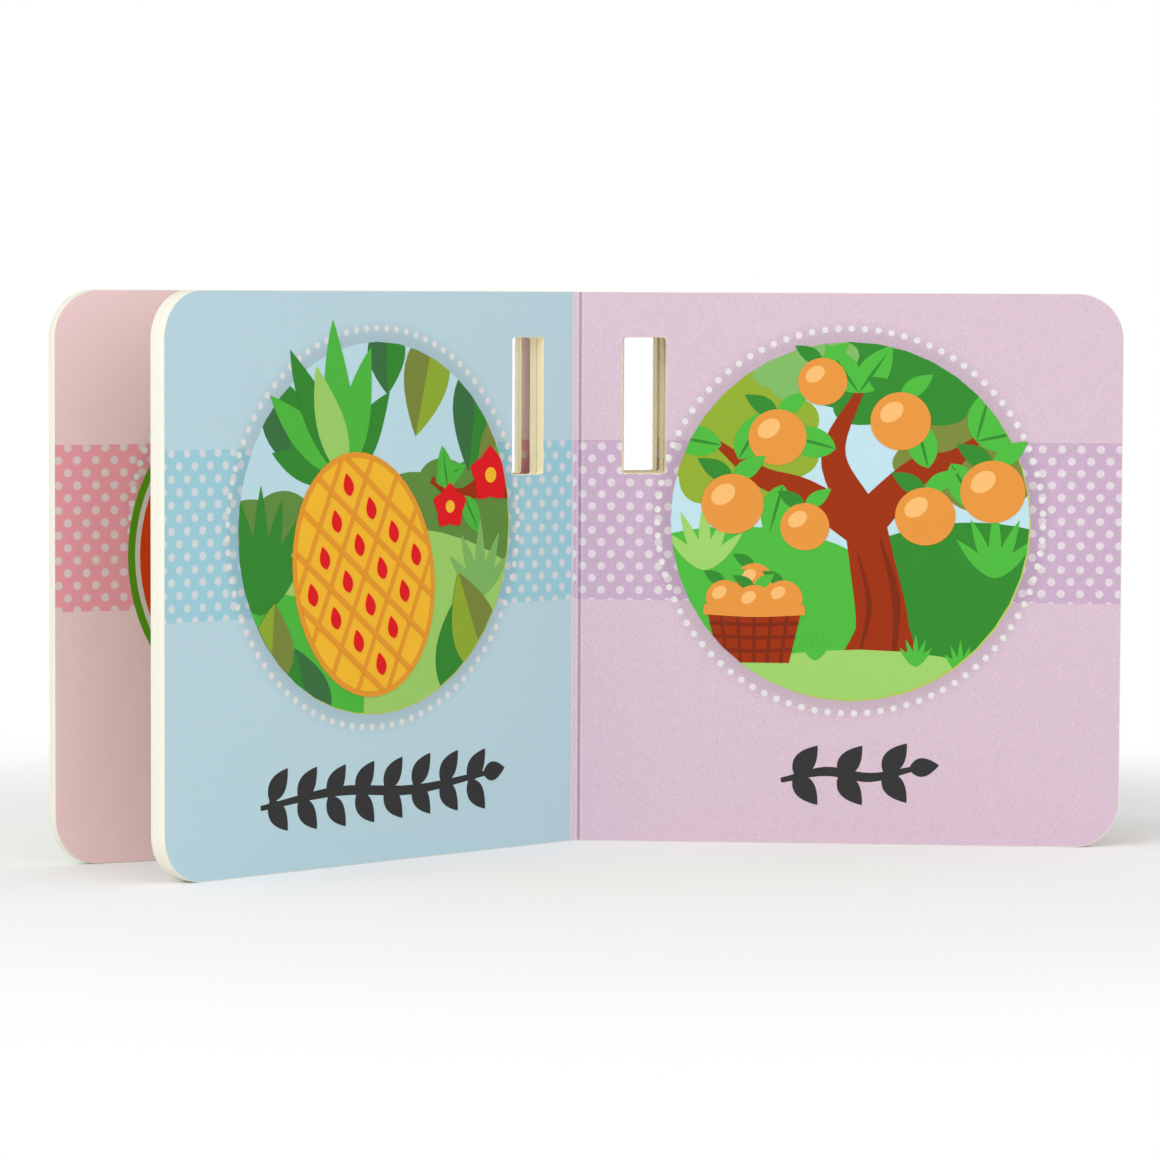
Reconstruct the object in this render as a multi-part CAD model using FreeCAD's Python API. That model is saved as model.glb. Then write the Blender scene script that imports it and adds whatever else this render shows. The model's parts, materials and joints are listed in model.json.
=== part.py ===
"""Stroller book: a small square board book standing on its bottom edges, its leaves fanned open.

The book is five creased sheets of board, glued back to back into four double leaves, with a
wrapped card cover whose front and back swing on the first and last creases. A die-cut slot for a
strap runs through every leaf beside the spine.

Seen from above, each leaf runs out from its crease in its own direction. A point of a leaf is
(out, through, up): out from the crease towards the fore-edge, through the leaf from the side
nearer the front cover, and up from the bottom edge. +Z is up and the open spread faces -Y.
"""

import FreeCAD, Part
import math
import os

from FreeCAD import Rotation, Vector

# Driving dimensions, in millimetres and degrees.

# Trimmed page
PAGE_WIDTH = 97.0  # crease to fore-edge
PAGE_HEIGHT = 99.0
CORNER_RADIUS = 8.2  # the two fore-edge corners

# Boards
BOARD = 1.7  # one sheet of page board, and two make a leaf
COVER_CARD = 0.9  # wrapped over the outer boards and the spine
FOLD_DEPTH = 1.3  # board left behind a crease

# Strap slot
SLOT_FROM_CREASE = 7.65
SLOT_WIDTH = 7.8
SLOT_HEIGHT = 24.4
SLOT_BELOW_TOP = 8.2
SLOT_CORNER = 0.5

# Fan: the way each leaf points, anticlockwise from +X
FRONT_COVER_AT = 207.4
FIRST_LEAF_AT = 225.9
SECOND_LEAF_AT = -4.8
THIRD_LEAF_AT = 6.0
FOURTH_LEAF_AT = 11.0
BACK_COVER_AT = 17.0

# Open spread
GUTTER_STRIP = 1.27  # page left flat between the crease and the foot of the first leaf
CREASE_WIDTH = 0.4
CREASE_DEPTH = 0.2

# Cover hinges
HINGE_GAP = 0.35  # between a crease and the cover's spine edge
COVER_LIFT = 0.2  # by which a crease holds its cover off the page beneath
SPINE_EDGE_RADIUS = 1.5  # where the card turns round the cover's spine edge

# Print
INK = 0.03  # thickness of each printed field
PRINT_INSET = 0.15  # bare rim that the cutting die leaves round a page and its slot
BAND_HEIGHT = 28.7
BAND_BELOW_TOP = 26.6
PICTURE_DIAMETER = 64.2
PICTURE_BELOW_TOP = 40.9  # to the picture's centre
FOLD_MARGIN = 2.4  # on the room that the inks of two pages need where they share a crease

# Hills across the foot of a picture
HILL_WIDTH = 68.0
HILL_HEIGHT = 44.0

# Pineapple
PINEAPPLE_AT = (-3.0, -8.0)
PINEAPPLE_WIDTH = 33.0
PINEAPPLE_HEIGHT = 43.0
PINEAPPLE_LEAN = 14.0
CROWN_LEAVES = 7
CROWN_LEAF_LENGTH = 24.0
CROWN_LEAF_WIDTH = 6.5
CROWN_SPREAD = 112.0  # between the outer leaves
CROWN_FOOT = 0.4  # of the pineapple's height, from its middle to the foot of its crown

# Fruit tree, its limbs as points out from the picture's middle
TRUNK = ((5.0, -30.5), (5.5, -16.0), (2.0, 1.0))
TRUNK_FOOT = 15.0
TRUNK_WIDTH = 8.0
UPPER_BRANCH = ((2.5, -3.0), (-3.0, 13.5), (2.0, 25.0))
LEFT_BRANCH = ((4.0, -4.0), (-10.0, 7.0), (-24.0, 14.0))
RIGHT_BRANCH = ((3.0, -4.0), (13.0, 9.5), (26.0, 15.5))
BRANCH_WIDTH = 5.0
BRANCH_TIP = 2.5
FRUIT_DIAMETER = 11.0
FRUIT_AT = ((-21.0, 3.0), (-13.0, 15.0), (9.0, 18.0), (25.0, 6.5))

# Melon slice
MELON_AT = (-3.4, -5.0)
MELON_DIAMETER = 63.2
MELON_LEAN = -30.0

# Twig in the margin under a picture, in the place of a caption
TWIG_DROP = 0.4  # below the middle of that margin
TWIG_STEM = 1.3
TWIG_LEAF_LENGTH = 6.6
TWIG_LEAF_WIDTH = 3.4
TWIG_LEAF_PITCH = 6.75
TWIG_LEAF_LEAN = 52.0
LONG_TWIG = 54.0
SHORT_TWIG = 24.0

LEAF = 2 * BOARD
COVER = BOARD + COVER_CARD
PAST = 1.0  # by which a cutting tool runs past what it cuts
SAME = 1e-6  # within which two places are the same


class Leaf:
    """A leaf's place: its crease on the side nearer the front cover, and the way it points."""

    def __init__(self, crease, direction, thickness):
        self.crease = crease
        self.direction = direction
        self.thickness = thickness

    def rotation(self):
        return Rotation(Vector(0, 0, 1), self.direction)

    def at(self, out, through, up=0.0):
        return self.crease + self.rotation().multVec(Vector(out, through, up))

    def placed(self, shape):
        moved = shape.copy()
        moved.Placement = FreeCAD.Placement(self.crease, self.rotation()).multiply(moved.Placement)
        return moved


def fan():
    """The six leaves in order, each hung from the crease that it shares with the one before."""
    second = Leaf(Vector(0, 0, 0), SECOND_LEAF_AT, LEAF)
    third = Leaf(second.at(0, LEAF), THIRD_LEAF_AT, LEAF)
    fourth = Leaf(third.at(0, LEAF), FOURTH_LEAF_AT, LEAF)
    back = Leaf(fourth.at(0, LEAF), BACK_COVER_AT, COVER + COVER_LIFT)
    foot = Leaf(Vector(-GUTTER_STRIP, 0, 0), FIRST_LEAF_AT, LEAF)
    first = Leaf(foot.at(0, -LEAF), FIRST_LEAF_AT, LEAF)
    hinge = Leaf(first.crease, FRONT_COVER_AT, COVER + COVER_LIFT)
    front = Leaf(hinge.at(0, -COVER - COVER_LIFT), FRONT_COVER_AT, COVER + COVER_LIFT)
    return front, first, second, third, fourth, back


def prism(outline, through, thickness):
    """An outline in the page's plane, made thickness deep from the given place in the leaf."""
    face = Part.Face(outline)
    face.translate(Vector(0, through, 0))
    return face.extrude(Vector(0, thickness, 0))


def page_outline(start, inset=0.0):
    """The page from start to its fore-edge, with the two outer corners rounded."""
    radius = CORNER_RADIUS - inset
    bend = radius * (1 - math.sqrt(0.5))
    low, high, edge = inset, PAGE_HEIGHT - inset, PAGE_WIDTH - inset
    inner = edge - radius
    lines = [
        Part.makeLine(Vector(start, 0, low), Vector(inner, 0, low)),
        Part.Arc(
            Vector(inner, 0, low),
            Vector(edge - bend, 0, low + bend),
            Vector(edge, 0, low + radius),
        ).toShape(),
        Part.makeLine(Vector(edge, 0, low + radius), Vector(edge, 0, high - radius)),
        Part.Arc(
            Vector(edge, 0, high - radius),
            Vector(edge - bend, 0, high - bend),
            Vector(inner, 0, high),
        ).toShape(),
        Part.makeLine(Vector(inner, 0, high), Vector(start, 0, high)),
        Part.makeLine(Vector(start, 0, high), Vector(start, 0, low)),
    ]
    return Part.Wire(lines)


def slot_block(thickness, rim=0.0):
    """The strap slot's block, wider all round by rim."""
    low = PAGE_HEIGHT - SLOT_BELOW_TOP - SLOT_HEIGHT
    return Part.makeBox(
        SLOT_WIDTH + 2 * rim,
        thickness + 2 * PAST,
        SLOT_HEIGHT + 2 * rim,
        Vector(SLOT_FROM_CREASE - rim, -PAST, low - rim),
    )


def slot_cutter(thickness):
    """The block that cuts a slot, its four long edges slightly rounded as a die's are."""
    block = slot_block(thickness)
    long_edges = [e for e in block.Edges if abs(e.tangentAt(e.FirstParameter).y) > 1 - SAME]
    return block.makeFillet(SLOT_CORNER, long_edges)


def page_leaf(leaf):
    """Two boards back to back, with the fold's board behind the crease and the slot cut out."""
    plate = prism(page_outline(-FOLD_DEPTH), 0, leaf.thickness)
    return leaf.placed(plate.cut(slot_cutter(leaf.thickness)))


def crease_cutter(leaf):
    """The scored line down the open spread."""
    half = CREASE_WIDTH / 2
    corners = [
        leaf.at(-half, -PAST, -PAST),
        leaf.at(-half, 0, -PAST),
        leaf.at(0, CREASE_DEPTH, -PAST),
        leaf.at(half, 0, -PAST),
        leaf.at(half, -PAST, -PAST),
    ]
    section = Part.Face(Part.makePolygon(corners + corners[:1]))
    return section.extrude(Vector(0, 0, PAGE_HEIGHT + 2 * PAST))


def make_pages(leaves):
    """The page block: the four double leaves, joined behind their creases."""
    block = page_leaf(leaves[0])
    for leaf in leaves[1:]:
        block = block.fuse(page_leaf(leaf))
    return block.cut(crease_cutter(leaves[1])).removeSplitter()


def make_cover(leaf, inner, outer):
    """A cover board from its hinge to the fore-edge, with the card turned round its spine edge.

    inner and outer are the places of its two faces through the leaf.
    """
    low, high = sorted((inner, outer))
    plate = prism(page_outline(HINGE_GAP), low, high - low)
    turned = [
        e
        for e in plate.Edges
        if abs(e.CenterOfMass.x - HINGE_GAP) < SAME and abs(e.CenterOfMass.y - outer) < SAME
    ]
    plate = plate.makeFillet(SPINE_EDGE_RADIUS, turned)
    return leaf.placed(plate.cut(slot_cutter(leaf.thickness)))


def make_spine(first, second, third, fourth, pages):
    """The card glued over the folds, from the first leaf round to the fourth."""
    back_of_card = -FOLD_DEPTH - COVER_CARD
    middle = BOARD
    corners = [
        first.at(-FOLD_DEPTH, 0),
        first.at(back_of_card, 0),
        third.at(back_of_card, middle),
        fourth.at(back_of_card, middle),
        fourth.at(back_of_card, LEAF),
        fourth.at(-FOLD_DEPTH, LEAF),
        fourth.at(0, middle),
        third.at(0, middle),
        second.at(0, middle),
    ]
    section = Part.Face(Part.makePolygon(corners + corners[:1]))
    return section.extrude(Vector(0, 0, PAGE_HEIGHT)).cut(pages)


class Page:
    """One face of a leaf, and the thin fields that are printed on it.

    face is its place through the leaf, outward is 1 or -1, the way it looks, and start is where
    its print begins. The ground and the band lie side by side on the board, the round picture on
    both, and what is drawn in it on the picture. A drawing lies flat as a reader sees it, X
    across and Y up from its middle.
    """

    def __init__(self, leaf, face, outward, start):
        self.leaf = leaf
        self.face = face
        self.outward = outward
        self.start = start
        self.slot = slot_block(leaf.thickness, PRINT_INSET)
        self.strip = Part.makeBox(
            PAGE_WIDTH - PRINT_INSET - start,
            INK,
            BAND_HEIGHT,
            Vector(start, self.on(0), PAGE_HEIGHT - BAND_BELOW_TOP - BAND_HEIGHT),
        )

    def on(self, layer):
        """The lower side through the leaf of a field with so many layers under it."""
        return self.face + self.outward * layer * INK - (INK if self.outward < 0 else 0)

    def ground(self):
        page = prism(page_outline(self.start, PRINT_INSET), self.on(0), INK)
        return self.leaf.placed(page.cut(self.slot).cut(self.strip))

    def band(self):
        return self.leaf.placed(self.strip.cut(self.slot))

    def drawn(self, drawing, layer, up):
        """A drawing laid on the page, its middle at the page's middle and at up."""
        field = drawing.copy()
        if self.outward > 0:
            field = field.mirror(Vector(0, 0, 0), Vector(1, 0, 0))
        field.rotate(Vector(0, 0, 0), Vector(1, 0, 0), 90)
        field.translate(Vector(PAGE_WIDTH / 2, self.on(layer) + INK, up))
        return self.leaf.placed(field)


def inked(face, at, lean):
    """A face one ink thick, leant by degrees and moved to a point."""
    field = face.extrude(Vector(0, 0, INK))
    field.rotate(Vector(0, 0, 0), Vector(0, 0, 1), lean)
    field.translate(Vector(*at, 0))
    return field


def polygon(corners):
    points = [Vector(*corner, 0) for corner in corners]
    return Part.Face(Part.makePolygon(points + points[:1]))


def oval(at, width, height, lean=0.0):
    """An oval about a point, leant by degrees."""
    if height > width:
        return oval(at, height, width, lean + 90)
    edge = Part.Ellipse(Vector(0, 0, 0), width / 2, height / 2).toShape()
    return inked(Part.Face(Part.Wire(edge)), at, lean)


def disc(at, diameter):
    return Part.makeCylinder(diameter / 2, INK, Vector(*at, 0))


def pointed_leaf(base, length, width, direction):
    """A leaf from its base, widest before its middle, and pointed."""
    half = width / 2
    corners = (
        (0, 0),
        (length * 0.25, -half * 0.85),
        (length * 0.5, -half),
        (length, 0),
        (length * 0.5, half),
        (length * 0.25, half * 0.85),
    )
    return inked(polygon(corners), base, direction)


def limb(path, widths):
    """A limb along a path of points, so wide at each of them."""
    left, right = [], []
    for i, (point, width) in enumerate(zip(path, widths)):
        before, after = path[max(i - 1, 0)], path[min(i + 1, len(path) - 1)]
        way = math.atan2(after[1] - before[1], after[0] - before[0])
        aside = Vector(-math.sin(way), math.cos(way), 0) * (width / 2)
        left.append(Vector(*point, 0) + aside)
        right.append(Vector(*point, 0) - aside)
    corners = right + left[::-1]
    return Part.Face(Part.makePolygon(corners + corners[:1])).extrude(Vector(0, 0, INK))


def half_disc(at, diameter, lean):
    """The lower half of a disc about a point, leant by degrees."""
    radius = diameter / 2
    left, right = Vector(-radius, 0, 0), Vector(radius, 0, 0)
    rim = Part.Arc(left, Vector(0, -radius, 0), right).toShape()
    return inked(Part.Face(Part.Wire([rim, Part.makeLine(right, left)])), at, lean)


def merged(fields):
    """Fields that overlap, as one."""
    whole = fields[0]
    for field in fields[1:]:
        whole = whole.fuse(field)
    return whole.removeSplitter()


def round_picture():
    return disc((0, 0), PICTURE_DIAMETER)


def landscape():
    """A round picture in two: the sky, and two hills across its foot."""
    low = -PICTURE_DIAMETER / 2
    left = oval((-HILL_WIDTH / 5, low + HILL_HEIGHT / 8), HILL_WIDTH, HILL_HEIGHT)
    right = oval((HILL_WIDTH / 3, low), HILL_WIDTH, HILL_HEIGHT)
    ridge = merged([left, right])
    return round_picture().cut(ridge), round_picture().common(ridge)


def pineapple():
    """Its body and its crown of leaves."""
    body = oval(PINEAPPLE_AT, PINEAPPLE_WIDTH, PINEAPPLE_HEIGHT, PINEAPPLE_LEAN)
    lean = math.radians(PINEAPPLE_LEAN)
    reach = PINEAPPLE_HEIGHT * CROWN_FOOT
    foot = (PINEAPPLE_AT[0] - reach * math.sin(lean), PINEAPPLE_AT[1] + reach * math.cos(lean))
    first = 90 + PINEAPPLE_LEAN - CROWN_SPREAD / 2
    step = CROWN_SPREAD / (CROWN_LEAVES - 1)
    leaves = [
        pointed_leaf(foot, CROWN_LEAF_LENGTH, CROWN_LEAF_WIDTH, first + step * i)
        for i in range(CROWN_LEAVES)
    ]
    return body, merged(leaves).common(round_picture()).cut(body)


def fruit_tree():
    """Its trunk and branches, and its fruit."""
    branch = (BRANCH_WIDTH, BRANCH_WIDTH, BRANCH_TIP)
    limbs = [limb(TRUNK, (TRUNK_FOOT, TRUNK_WIDTH, TRUNK_WIDTH))]
    limbs += [limb(path, branch) for path in (UPPER_BRANCH, LEFT_BRANCH, RIGHT_BRANCH)]
    fruit = Part.makeCompound([disc(at, FRUIT_DIAMETER) for at in FRUIT_AT])
    return merged(limbs).common(round_picture()).cut(fruit), fruit


def melon_slice():
    return half_disc(MELON_AT, MELON_DIAMETER, MELON_LEAN).common(round_picture())


def twig(length):
    """A stem with pairs of leaves."""
    count = int(length / TWIG_LEAF_PITCH)
    parts = [limb(((-length / 2, 0), (length / 2, 0)), (TWIG_STEM, TWIG_STEM))]
    for i in range(count):
        foot = ((i - count / 2) * TWIG_LEAF_PITCH, 0)
        for side in (1, -1):
            parts.append(pointed_leaf(foot, TWIG_LEAF_LENGTH, TWIG_LEAF_WIDTH, side * TWIG_LEAF_LEAN))
    return merged(parts)


def clear_of_fold(one, other):
    """Where print may start on two pages that share a crease, so that the inks don't meet."""
    opening = math.radians(abs(one.direction - other.direction))
    return FOLD_MARGIN * 2 * INK / math.sin(opening)


def make_print(leaves):
    """Every printed field, as {name: shape}.

    Each page has its ground and band, each that a reader can turn to its round picture, and the
    pages of the open spread and the one beside it their drawings.
    """
    front, first, second, third, fourth, back = leaves
    front_face, back_face = COVER, COVER_LIFT
    after_hinge = HINGE_GAP + SPINE_EDGE_RADIUS
    pages = {
        "front_cover": Page(front, 0.0, -1, after_hinge),
        "pink_page": Page(front, front_face, 1, clear_of_fold(front, first)),
        "green_page": Page(first, 0.0, -1, clear_of_fold(front, first)),
        "blue_page": Page(first, LEAF, 1, INK),
        "lilac_page": Page(second, 0.0, -1, CREASE_WIDTH / 2),
        "yellow_page": Page(second, LEAF, 1, clear_of_fold(second, third)),
        "peach_page": Page(third, 0.0, -1, clear_of_fold(second, third)),
        "mint_page": Page(third, LEAF, 1, clear_of_fold(third, fourth)),
        "rose_page": Page(fourth, 0.0, -1, clear_of_fold(third, fourth)),
        "sky_page": Page(fourth, LEAF, 1, clear_of_fold(fourth, back)),
        "cream_page": Page(back, back_face, -1, clear_of_fold(fourth, back)),
        "back_cover": Page(back, back.thickness, 1, after_hinge),
    }
    shut = ("yellow_page", "peach_page", "mint_page", "rose_page")
    middle = PAGE_HEIGHT - PICTURE_BELOW_TOP
    caption = (middle - PICTURE_DIAMETER / 2) / 2 - TWIG_DROP
    sky, hills = landscape()
    pineapple_body, crown = pineapple()
    tree, fruit = fruit_tree()
    fields = {}
    for name, page in pages.items():
        fields[f"{name}_ground"] = page.ground()
        fields[f"{name}_band"] = page.band()
        if name not in shut:
            picture = sky if name in ("blue_page", "lilac_page") else round_picture()
            fields[f"{name}_picture"] = page.drawn(picture, 1, middle)
    drawings = (
        ("blue_page", "hills", hills, 1, middle),
        ("blue_page", "pineapple", pineapple_body, 2, middle),
        ("blue_page", "crown", crown, 2, middle),
        ("blue_page", "twig", twig(LONG_TWIG), 1, caption),
        ("lilac_page", "hills", hills, 1, middle),
        ("lilac_page", "tree", tree, 2, middle),
        ("lilac_page", "fruit", fruit, 2, middle),
        ("lilac_page", "twig", twig(SHORT_TWIG), 1, caption),
        ("pink_page", "melon", melon_slice(), 2, middle),
    )
    for name, drawing, field, layer, up in drawings:
        fields[f"{name}_{drawing}"] = pages[name].drawn(field, layer, up)
    return fields


def build():
    """All nodes of the book, as {name: shape}, with the crease of the open spread at x = y = 0."""
    leaves = fan()
    front, first, second, third, fourth, back = leaves
    pages = make_pages((first, second, third, fourth))
    nodes = {
        "pages": pages,
        "front_cover": make_cover(front, COVER, 0.0),
        "back_cover": make_cover(back, COVER_LIFT, back.thickness),
        "spine": make_spine(first, second, third, fourth, pages),
    }
    nodes.update(make_print(leaves))
    return nodes, {"front_cover_hinge": first.crease, "back_cover_hinge": back.crease}


def main():
    nodes, hinges = build()
    box = Part.makeCompound(list(nodes.values())).BoundBox
    to_origin = Vector(-box.Center.x, -box.Center.y, -box.ZMin)
    os.makedirs("parts", exist_ok=True)
    for name, shape in nodes.items():
        shape.translate(to_origin)
        shape.exportStep(f"parts/{name}.step")
    for name, place in hinges.items():
        place = place + to_origin
        print(f"{name} {place.x:.4f} {place.y:.4f}")


main()
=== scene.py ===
"""Stroller book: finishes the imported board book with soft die-cut boards, printed pages and a studio.

The sidebar panel lists the operators in the order that main() runs them. A page is modelled flat, in
millimetres, in page coordinates: X out from its crease, Y through the leaf from the side nearer the
front cover, Z up from the bottom edge. It is then laid on its leaf of the fanned book.
"""

import json
import math
import random

import bpy
from bpy.props import FloatProperty, FloatVectorProperty, PointerProperty
from mathutils import Matrix, Vector


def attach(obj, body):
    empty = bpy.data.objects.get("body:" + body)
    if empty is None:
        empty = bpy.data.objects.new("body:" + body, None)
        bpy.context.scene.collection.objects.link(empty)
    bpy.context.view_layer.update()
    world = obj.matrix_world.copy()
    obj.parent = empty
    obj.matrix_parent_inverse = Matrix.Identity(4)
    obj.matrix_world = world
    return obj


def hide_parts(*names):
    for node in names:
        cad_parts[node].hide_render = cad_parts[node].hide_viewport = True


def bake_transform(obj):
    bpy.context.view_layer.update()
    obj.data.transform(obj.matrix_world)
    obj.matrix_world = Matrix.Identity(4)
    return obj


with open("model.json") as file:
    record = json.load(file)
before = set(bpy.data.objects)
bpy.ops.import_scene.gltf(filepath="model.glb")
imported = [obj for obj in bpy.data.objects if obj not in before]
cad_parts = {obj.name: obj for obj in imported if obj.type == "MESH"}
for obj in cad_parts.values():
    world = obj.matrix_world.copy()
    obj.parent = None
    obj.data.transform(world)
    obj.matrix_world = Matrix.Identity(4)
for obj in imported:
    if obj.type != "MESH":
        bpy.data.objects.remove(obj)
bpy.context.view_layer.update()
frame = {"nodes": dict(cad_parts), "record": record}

bl_info = {
    "name": "Stroller Book",
    "version": (1, 0, 0),
    "blender": (4, 5, 0),
    "location": "View3D > Sidebar > Book",
    "description": "Builds the pages, covers and print of a small fanned board book",
    "category": "Add Mesh",
}

MM = 0.001  # millimetres to metres

# Fixed measures of the boards and the print, in millimetres
HINGE_CARD = 0.3  # thickness of the card where it bends at a hinge
GROUND_INK = 0.02  # thickness of a page's ground
INK = 0.011  # thickness of each ink of a picture
FOLD_BARE = 0.1  # left unprinted at a fold
SLOT_RIM = 0.07  # bare rim round the strap slot
RAGGED = 0.035  # by which the die's cut wanders
CLEARANCE = 1.0  # by which a cutter passes what it cuts
SAME = 1e-3  # within which two places are the same
UNEVEN_FROM = 5.0  # length from which a side of the slot's die is uneven
CARD_LAP = 0.5  # by which a hinge card starts on the spine's flat card
INNER_BARE = 0.6  # board that a cover's card leaves bare beside the inner page
SCORE_WIDTH = 0.6  # scored crease of the open spread
SCORE_DEPTH = 0.25
GLUE_LINE = 0.1  # half of its width in a die-cut edge
GLUE_BLUR = 0.08
SLOT_SURROUND = 0.3  # by which the slot wall's painted light passes the slot
FILM_GRAIN = 0.3  # paper grain under the film
FILM_RELIEF = 0.004  # height of that grain
BOARD_GRAIN = 0.12
BOARD_RELIEF = 0.02
DOT_PITCH = 3.43  # between dots of one row of a band
DOT_ROWS = 2.15  # between rows
DOT_RADIUS = 0.72
RING_DOT_RADIUS = 0.57
RING_TURN = 1.2  # degrees by which the ring of dots is turned
SHADE_REACH = 5.0  # soft shade round a picture
BLUR = 0.15  # softness of a printed dot's edge
BAND_BLUR = 0.02
RIM_SHIFT = (0.25, -0.25)  # by which a picture's pale rim shows beside it
TWIG_UP = 12.6  # bottom edge to a twig
LONG_TWIG = 54.0
SHORT_TWIG = 24.0
TWIG_LEAF_PITCH = 6.75

# Shares, from 0 to 1
DOT_COVER = 0.74  # how well a dot's pale ink covers the band
SHADE_DEPTH = 0.2
CREASE_SHADE = 0.4  # painted shade: how much of the crease colour darkens the scored crease
FINE_GRAIN = 0.018  # change of tone that paper grain gives a flat ink
SCREEN_GRAIN = {"lilac": 0.13, "pink": 0.035}  # and an ink printed with a coarser screen
DEEP_GRAIN = 0.03  # and a deep ink
BOARD_TONE = 0.02  # and bare board
HINGE_DIP = 0.75  # how far a hinge card is pressed in towards its crease
PRINT_INSET = 0.8  # of the edge's radius, left bare round the print
SCALLOP = 0.12  # of its radius, the depth between a bush's lobes
LAYER_SHADE = 0.05  # glue colour that the board's layers take
GLUE_SHADE = 0.14
GLUE_SHADE_IN_SLOT = 0.5  # more of it inside the strap slot
SATIN = 0.42  # roughness of the film
PALE_SHEEN = 0.35  # specular level over pale inks
DEEP_SHEEN = 0.14
FLAT_CARD = 0.72  # how squarely the spine's card faces the flat way where it takes dots
CUT_END = 0.5  # how squarely a face of a cover looks up or down where it is bare cut board
NOISE_RANGE = (0.25, 0.75)  # within which fine noise mostly stays
LAYER_RANGE = (0.35, 0.75)  # of the noise that draws the board's layers

# Counts
RING_DOTS = 91
CORNER_FACETS = 14
SPINE_FACETS = 8
SLOT_FACETS = 4
SLOT_STEPS = 24  # points along each side of the uneven slot
HINGE_STEPS = 12
OVAL_STEPS = 40
LEAF_STEPS = 12
LIMB_STEPS = 6
LOBE_STEPS = 8
HALF_ROUND_STEPS = 36

# Angles
SHARP = math.radians(50)  # from which the die leaves an edge rounded
SMOOTH = math.radians(35)  # up to which faces are shaded as one
SIDE_WAVES = (1.1, 3.7)  # radians a millimetre in which the slot's sides wander
END_WAVES = (2.3, 5.1)

# What differs from page to page
FIRST_DOT = (0.5, 0.53)  # of a band: out from the crease, and down from the band's top
FIRST_DOTS = {"pink_page": (1.93, 0.53), "blue_page": (2.75, 0.53), "lilac_page": (0.5, 1.16)}
FOLD_MARKS = {  # beside a fold: colour, distance from the fold, half width, blur and cover
    # blue page: a pale line along its fold, partly wear where the print breaks, partly painted
    # highlight on the bent film
    "blue_page": (("ring", 0.0, 0.24, 0.14, 0.6),),
    # lilac page: painted shade in the scored crease, and 0.5 mm beside it a faint painted highlight on
    # its ridge
    "lilac_page": (("crease", 0.0, 0.17, 0.15, CREASE_SHADE), ("ring", 0.5, 0.1, 0.1, 0.3)),
}
LONG_TWIGS = ("blue_page", "pink_page", "green_page", "yellow_page", "rose_page")

# Studio
KEY_POWER = 8.2  # watts
FILL_POWER = 2.2
SURROUND = 0.72  # strength of the white surround, as a light
FLOOR_LIFT = 0.08  # by which the floor is brightened where it is seen
WHITE = (1, 1, 1, 1)
FLOOR_PAINT = (0.9, 0.9, 0.9, 1)
FLOOR_SIZE = 8  # metres
FLOOR_FADE = (0.11, 0.26)  # metres from the book at which the floor starts and ends turning white
LAMP_SIZE = 0.9
LAMP_AIM = (0, 0, 0.05)
KEY_AT = (-0.72, -1.12, 0.72)
FILL_AT = (0.9, -1.1, 0.6)
CAMERA_FROM_GUTTER = (0.1, -865.2, 99.0)  # millimetres, from the foot of the open crease
CAMERA_PITCH = 3.43  # degrees below the level
CAMERA_ROLL = 0.24
CAMERA_LENS = 149.4  # millimetres
CAMERA_SENSOR = 36.0
CAMERA_NEAR = 0.01  # metres


# Colour


def linear(hex_colour):
    """An sRGB hex colour as linear red, green and blue."""
    channels = [int(hex_colour[i : i + 2], 16) / 255 for i in (0, 2, 4)]
    return tuple(c / 12.92 if c <= 0.04045 else ((c + 0.055) / 1.055) ** 2.4 for c in channels)


def colour(label, hex_colour, use):
    """A colour property with its default."""
    return FloatVectorProperty(
        name=label, description=use, subtype="COLOR", size=3, min=0, max=1, default=linear(hex_colour)
    )


def length(label, millimetres, use):
    """A length property in millimetres."""
    return FloatProperty(name=label, description=use, default=millimetres, min=0, precision=2)


def angle(label, degrees, use):
    """An angle property."""
    return FloatProperty(name=label, description=use, subtype="ANGLE", default=math.radians(degrees))


# Sizes and colours that a user would change


class BookSizes(bpy.types.PropertyGroup):
    """Sizes of the page, its boards and its print, in millimetres."""

    page_width: length("Page width", 97.0, "Crease to fore-edge")
    page_height: length("Page height", 99.0, "Bottom edge to top edge")
    corner: length("Corner radius", 8.2, "Radius of the two fore-edge corners")
    board: length("Board", 1.7, "Thickness of one page board, half of a leaf")
    card: length("Cover card", 0.9, "Thickness of the card wrapped over the covers")
    fold: length("Fold depth", 1.3, "Board left behind a crease")
    edge_softness: length("Edge softness", 0.16, "Radius that the die leaves on a board's edge")
    slot_from_crease: length("Slot from crease", 7.65, "Crease to the strap slot")
    slot_width: length("Slot width", 7.8, "Strap slot, along the page")
    slot_height: length("Slot height", 24.4, "Strap slot, up the page")
    slot_below_top: length("Slot below top", 8.2, "Top edge to the strap slot")
    slot_corner: length("Slot corner", 0.5, "Radius of the slot's corners")
    gutter_strip: length("Gutter strip", 1.27, "Flat strip at the foot of the open spread")
    hinge_gap: length("Hinge gap", 0.35, "Crease to the cover's spine edge")
    cover_lift: length("Cover lift", 0.2, "By which a crease holds its cover off the next page")
    spine_edge: length("Spine edge", 1.5, "Radius of the card round a cover's spine edge")
    band_height: length("Band height", 28.7, "Dotted band across the page")
    band_below_top: length("Band below top", 26.6, "Top edge to the dotted band")
    picture: length("Picture", 64.2, "Diameter of the round picture")
    picture_below_top: length("Picture below top", 40.9, "Top edge to the picture's centre")
    ring: length("Dot ring", 69.0, "Diameter of the ring of dots round the picture")


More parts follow.
